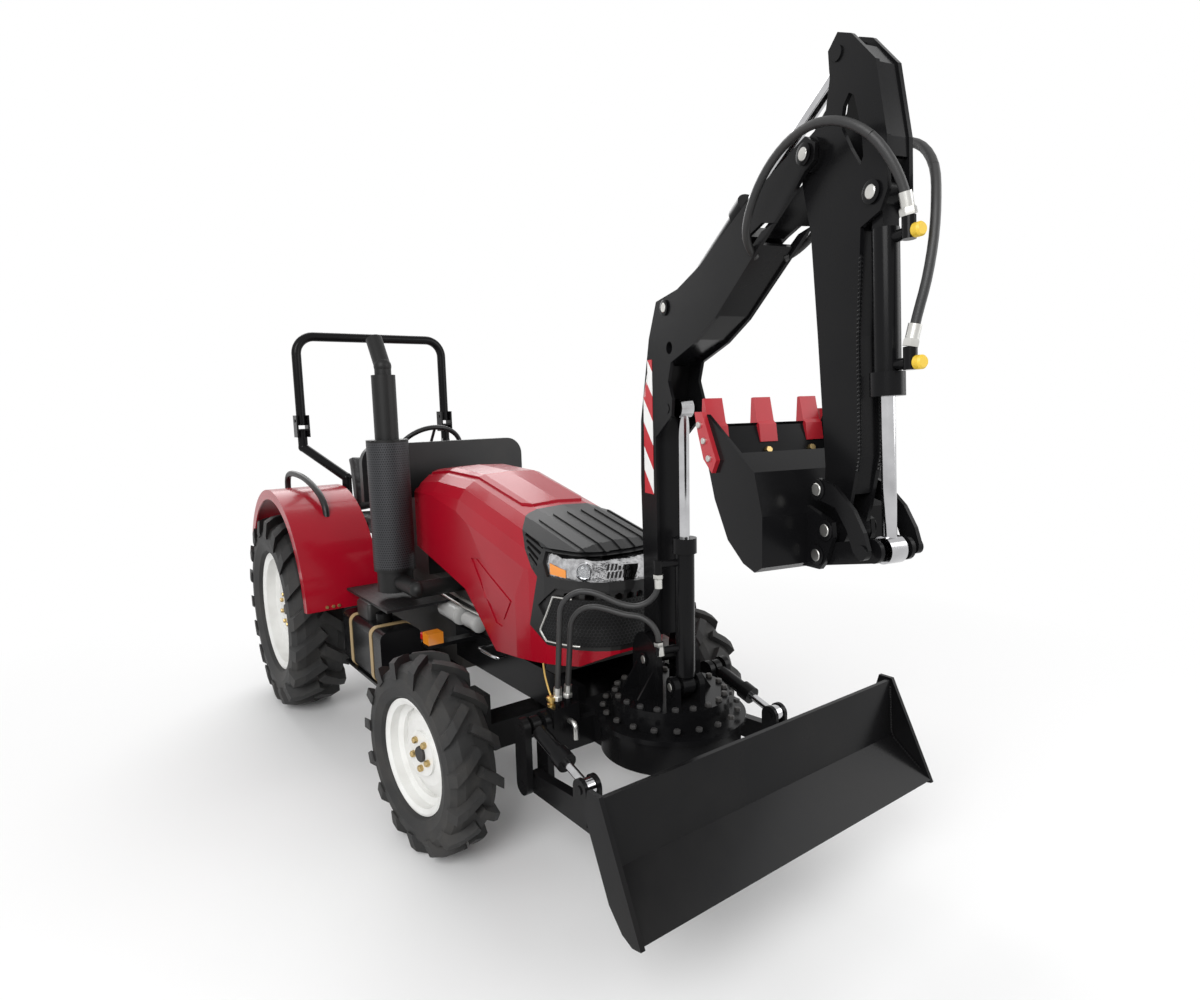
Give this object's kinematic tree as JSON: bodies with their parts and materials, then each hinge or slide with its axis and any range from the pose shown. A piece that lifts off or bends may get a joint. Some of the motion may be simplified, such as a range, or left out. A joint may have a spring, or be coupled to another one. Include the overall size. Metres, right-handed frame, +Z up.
{
  "type": "compact tractor with front digging arm and dozer blade",
  "caption": "Compact four-wheel-drive farm tractor with a slewing digging arm on its nose, a curled bucket and a front dozer blade on lift cylinders.",
  "frame": {"origin": "middle of the bounding box on the ground under the tyres", "axes": "+X forward, +Y to the driver's left, +Z up"},
  "size_m": [4.3069, 1.5462, 2.4299],
  "materials": {
    "red_paint": "gloss",
    "black_paint": "gloss",
    "black_plastic": "matte",
    "dark_iron": "satin",
    "white_paint": "gloss",
    "tyre": "matte",
    "rod_chrome": "polished",
    "lamp_chrome": "polished",
    "amber": "gloss",
    "seat_cover": "matte",
    "tooth_red": "gloss"
  },
  "bodies": {
    "tractor": {"chassis": "black_paint", "engine": "dark_iron", "transmission": "dark_iron", "front_axle": "black_paint", "fenders": "red_paint", "floor": "black_paint", "dash": "black_plastic", "seat": "seat_cover", "rops_posts": "black_paint", "exhaust": "dark_iron", "tank": "black_paint", "side_lamp": "amber", "hitch": "black_paint", "slew_base": "black_paint"},
    "hood": {"hood": "red_paint", "nose": "black_plastic", "grille": "black_plastic", "headlamps": "lamp_chrome"},
    "rops_bar": {"rops_bar": "black_paint"},
    "knuckle_left": {"knuckle_left": "black_paint"},
    "knuckle_right": {"knuckle_right": "black_paint"},
    "front_wheel_left": {"front_rim_left": "white_paint", "front_tyre_left": "tyre"},
    "front_wheel_right": {"front_rim_right": "white_paint", "front_tyre_right": "tyre"},
    "rear_wheel_left": {"rear_rim_left": "white_paint", "rear_tyre_left": "tyre"},
    "rear_wheel_right": {"rear_rim_right": "white_paint", "rear_tyre_right": "tyre"},
    "turret": {"turret": "black_paint"},
    "boom": {"boom": "black_paint"},
    "dipper": {"dipper": "black_paint"},
    "bucket": {"bucket": "black_paint", "bucket_teeth": "tooth_red"},
    "rocker": {"rocker": "black_paint"},
    "bucket_link": {"bucket_link": "black_paint"},
    "boom_barrel": {"boom_barrel": "black_paint"},
    "boom_rod": {"boom_rod": "rod_chrome"},
    "dipper_barrel": {"dipper_barrel": "black_paint"},
    "dipper_rod": {"dipper_rod": "rod_chrome"},
    "bucket_barrel": {"bucket_barrel": "black_paint"},
    "bucket_rod": {"bucket_rod": "rod_chrome"},
    "blade": {"blade": "black_paint"},
    "blade_barrels": {"blade_barrels": "black_paint"},
    "blade_rods": {"blade_rods": "rod_chrome"}
  },
  "joints": [
    {"name": "steer_left", "type": "hinge", "parent": "tractor", "child": "knuckle_left", "pos_m": [0.433, 0.5, 0.375], "axis": [0, 0, 1], "range_deg": [-36, 24]},
    {"name": "steer_right", "type": "hinge", "parent": "tractor", "child": "knuckle_right", "pos_m": [0.433, -0.5, 0.375], "axis": [0, 0, 1], "range_deg": [-36, 24]},
    {"name": "front_spin_left", "type": "hinge", "parent": "knuckle_left", "child": "front_wheel_left", "pos_m": [0.42087, 0.61536, 0.375], "axis": [-0.1045, 0.9945, 0], "continuous": true},
    {"name": "front_spin_right", "type": "hinge", "parent": "knuckle_right", "child": "front_wheel_right", "pos_m": [0.44513, -0.61536, 0.375], "axis": [-0.1045, 0.9945, 0], "continuous": true},
    {"name": "rear_spin_left", "type": "hinge", "parent": "tractor", "child": "rear_wheel_left", "pos_m": [-1.407, 0.622, 0.545], "axis": [0, 1, 0], "continuous": true},
    {"name": "rear_spin_right", "type": "hinge", "parent": "tractor", "child": "rear_wheel_right", "pos_m": [-1.407, -0.622, 0.545], "axis": [0, 1, 0], "continuous": true},
    {"name": "hood_lift", "type": "hinge", "parent": "tractor", "child": "hood", "pos_m": [-0.447, 0, 1.202], "axis": [0, -1, 0], "range_deg": [0, 40]},
    {"name": "rops_fold", "type": "hinge", "parent": "tractor", "child": "rops_bar", "pos_m": [-1.637, 0, 1.61], "axis": [0, -1, 0], "range_deg": [0, 110]},
    {"name": "slew", "type": "hinge", "parent": "tractor", "child": "turret", "pos_m": [1.123, 0, 0.642], "axis": [0, 0, 1], "range_deg": [-57, 83]},
    {"name": "boom_lift", "type": "hinge", "parent": "turret", "child": "boom", "pos_m": [1.09864, 0.00562, 0.782], "axis": [-0.225, -0.9744, 0], "range_deg": [-50, 4]},
    {"name": "dipper_swing", "type": "hinge", "parent": "boom", "child": "dipper", "pos_m": [1.88301, -0.17546, 2.202], "axis": [-0.225, -0.9744, 0], "range_deg": [-10, 80]},
    {"name": "bucket_curl", "type": "hinge", "parent": "dipper", "child": "bucket", "pos_m": [1.96973, -0.19548, 1.364], "axis": [-0.225, -0.9744, 0], "range_deg": [-15, 130]},
    {"name": "rocker_turn", "type": "hinge", "parent": "dipper", "child": "rocker", "pos_m": [1.95804, -0.19278, 1.457], "axis": [-0.225, -0.9744, 0], "range_deg": [-7, 57]},
    {"name": "link_turn", "type": "hinge", "parent": "bucket", "child": "bucket_link", "pos_m": [1.94147, -0.18896, 1.302], "axis": [-0.225, -0.9744, 0], "range_deg": [-95, 11]},
    {"name": "boom_barrel_turn", "type": "hinge", "parent": "turret", "child": "boom_barrel", "pos_m": [1.23213, -0.02519, 0.724], "axis": [-0.225, -0.9744, 0], "range_deg": [-52, 5]},
    {"name": "boom_rod_slide", "type": "slide", "parent": "boom_barrel", "child": "boom_rod", "axis": [0.0074, -0.0017, 1], "range_m": [-0.13, 0.012]},
    {"name": "dipper_barrel_turn", "type": "hinge", "parent": "boom", "child": "dipper_barrel", "pos_m": [1.23505, -0.02587, 1.952], "axis": [-0.225, -0.9744, 0], "range_deg": [-2, 8]},
    {"name": "dipper_rod_slide", "type": "slide", "parent": "dipper_barrel", "child": "dipper_rod", "axis": [0.8391, -0.1937, 0.5083], "range_m": [-0.26, 0.035]},
    {"name": "bucket_barrel_turn", "type": "hinge", "parent": "dipper", "child": "bucket_barrel", "pos_m": [2.06132, -0.21663, 2.076], "axis": [-0.225, -0.9744, 0], "range_deg": [-1, 6]},
    {"name": "bucket_rod_slide", "type": "slide", "parent": "bucket_barrel", "child": "bucket_rod", "axis": [0.0487, -0.0112, -0.9988], "range_m": [-0.18, 0.02]},
    {"name": "blade_lift", "type": "hinge", "parent": "tractor", "child": "blade", "pos_m": [0.913, 0, 0.389], "axis": [0, -1, 0], "range_deg": [-28, 4]},
    {"name": "blade_barrel_turn", "type": "hinge", "parent": "tractor", "child": "blade_barrels", "pos_m": [0.913, 0, 0.588], "axis": [0, -1, 0], "range_deg": [-23, 4]},
    {"name": "blade_rod_slide", "type": "slide", "parent": "blade_barrels", "child": "blade_rods", "axis": [0.9583, 0, -0.2857], "range_m": [-0.02, 0.095]}
  ],
  "couplings": [
    {"joint": "steer_right", "follows": "steer_left", "ratio": 1},
    {"joint": "boom_barrel_turn", "follows": "boom_lift", "ratio": 1},
    {"joint": "boom_rod_slide", "follows": "boom_lift", "m_per_rad": 0.14324},
    {"joint": "dipper_barrel_turn", "follows": "dipper_swing", "ratio": 0.075},
    {"joint": "dipper_rod_slide", "follows": "dipper_swing", "m_per_rad": -0.17017},
    {"joint": "rocker_turn", "follows": "bucket_curl", "ratio": 0.4315},
    {"joint": "link_turn", "follows": "bucket_curl", "ratio": -0.695},
    {"joint": "bucket_barrel_turn", "follows": "bucket_curl", "ratio": 0.038},
    {"joint": "bucket_rod_slide", "follows": "bucket_curl", "m_per_rad": -0.071906},
    {"joint": "blade_barrel_turn", "follows": "blade_lift", "ratio": 0.77},
    {"joint": "blade_rod_slide", "follows": "blade_lift", "m_per_rad": -0.17727}
  ]
}
